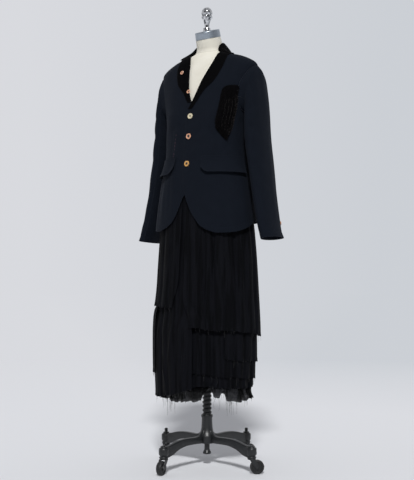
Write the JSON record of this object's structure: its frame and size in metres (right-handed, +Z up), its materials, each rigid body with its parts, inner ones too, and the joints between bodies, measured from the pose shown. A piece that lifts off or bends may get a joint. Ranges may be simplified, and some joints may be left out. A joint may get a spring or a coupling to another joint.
{
  "type": "coat dress on a dress form",
  "caption": "Dark wool jacket with velvet collar and a long layered ragged skirt, on a neck-capped dress form with a cast-iron castor stand.",
  "frame": {"origin": "on the floor under the stand's post", "axes": "+Z up along the post, -Y the way the wearer faces, +X towards the wearer's left"},
  "size_m": [0.586, 0.5196, 1.691],
  "materials": {
    "wool": "milled wool with a slight nap",
    "velvet": "cut pile",
    "crepe": "matt crepe with raw edges",
    "sheer_crepe": "thin, gathered, raw edges",
    "canvas": "smooth linen canvas",
    "cap_steel": "brushed band",
    "finial_metal": "polished",
    "cast_iron": "satin black paint",
    "wheel_black": "hard black wheel",
    "horn_cream": "polished",
    "horn_copper": "polished",
    "horn_amber": "polished"
  },
  "bodies": {
    "stand": {"stand_hub": "cast_iron", "leg_back_left": "cast_iron", "leg_back_right": "cast_iron", "leg_front_left": "cast_iron", "leg_front_right": "cast_iron"},
    "post": {"screw_post": "cast_iron", "foot_nut": "cast_iron", "post_collar": "cast_iron"},
    "form": {"form_torso": "canvas", "neck_cap": "cap_steel", "finial": "finial_metal", "front_left": "wool", "front_right": "wool", "back_left": "wool", "back_right": "wool", "sleeve_upper_left": "wool", "sleeve_under_left": "wool", "sleeve_upper_right": "wool", "sleeve_under_right": "wool", "collar": "velvet", "lapel_left": "velvet", "lapel_right": "velvet", "pocket_flap_left": "wool", "pocket_flap_right": "wool", "chest_patch": "velvet", "button_1": "horn_cream", "button_2": "horn_copper", "button_3": "horn_amber", "button_4": "horn_copper", "button_5": "horn_copper", "cuff_button_left": "horn_copper", "cuff_button_right": "horn_copper", "slip_front": "sheer_crepe", "slip_back": "sheer_crepe", "overlay_left": "crepe", "overlay_right": "crepe", "long_panel": "crepe", "side_panel": "crepe", "tier_upper": "crepe", "tier_middle": "crepe", "tier_lower": "crepe"},
    "fork_back_left": {"castor_fork_back_left": "cast_iron"},
    "fork_back_right": {"castor_fork_back_right": "cast_iron"},
    "fork_front_left": {"castor_fork_front_left": "cast_iron"},
    "fork_front_right": {"castor_fork_front_right": "cast_iron"},
    "wheel_back_left": {"castor_wheel_back_left": "wheel_black"},
    "wheel_back_right": {"castor_wheel_back_right": "wheel_black"},
    "wheel_front_left": {"castor_wheel_front_left": "wheel_black"},
    "wheel_front_right": {"castor_wheel_front_right": "wheel_black"}
  },
  "joints": [
    {"name": "post_lift", "type": "slide", "parent": "stand", "child": "post", "axis": [0, 0, 1], "range_m": [-0.035, 0.02]},
    {"name": "form_turn", "type": "hinge", "parent": "post", "child": "form", "pos_m": [0, 0, 0.8], "axis": [0, 0, 1], "continuous": true},
    {"name": "swivel_back_left", "type": "hinge", "parent": "stand", "child": "fork_back_left", "pos_m": [0.04179, 0.21498, 0.05], "axis": [0, 0, 1], "continuous": true},
    {"name": "swivel_back_right", "type": "hinge", "parent": "stand", "child": "fork_back_right", "pos_m": [-0.21498, 0.04179, 0.05], "axis": [0, 0, 1], "continuous": true},
    {"name": "swivel_front_right", "type": "hinge", "parent": "stand", "child": "fork_front_right", "pos_m": [-0.04179, -0.21498, 0.05], "axis": [0, 0, 1], "continuous": true},
    {"name": "swivel_front_left", "type": "hinge", "parent": "stand", "child": "fork_front_left", "pos_m": [0.21498, -0.04179, 0.05], "axis": [0, 0, 1], "continuous": true},
    {"name": "roll_back_left", "type": "hinge", "parent": "fork_back_left", "child": "wheel_back_left", "pos_m": [0.04574, 0.23356, 0.025], "axis": [-0.9781, 0.2079, 0], "continuous": true},
    {"name": "roll_back_right", "type": "hinge", "parent": "fork_back_right", "child": "wheel_back_right", "pos_m": [-0.22532, 0.05772, 0.025], "axis": [-0.8387, -0.5446, 0], "continuous": true},
    {"name": "roll_front_right", "type": "hinge", "parent": "fork_front_right", "child": "wheel_front_right", "pos_m": [-0.03914, -0.23379, 0.025], "axis": [0.9903, 0.1392, 0], "continuous": true},
    {"name": "roll_front_left", "type": "hinge", "parent": "fork_front_left", "child": "wheel_front_left", "pos_m": [0.23035, -0.03062, 0.025], "axis": [-0.5878, 0.809, 0], "continuous": true}
  ]
}
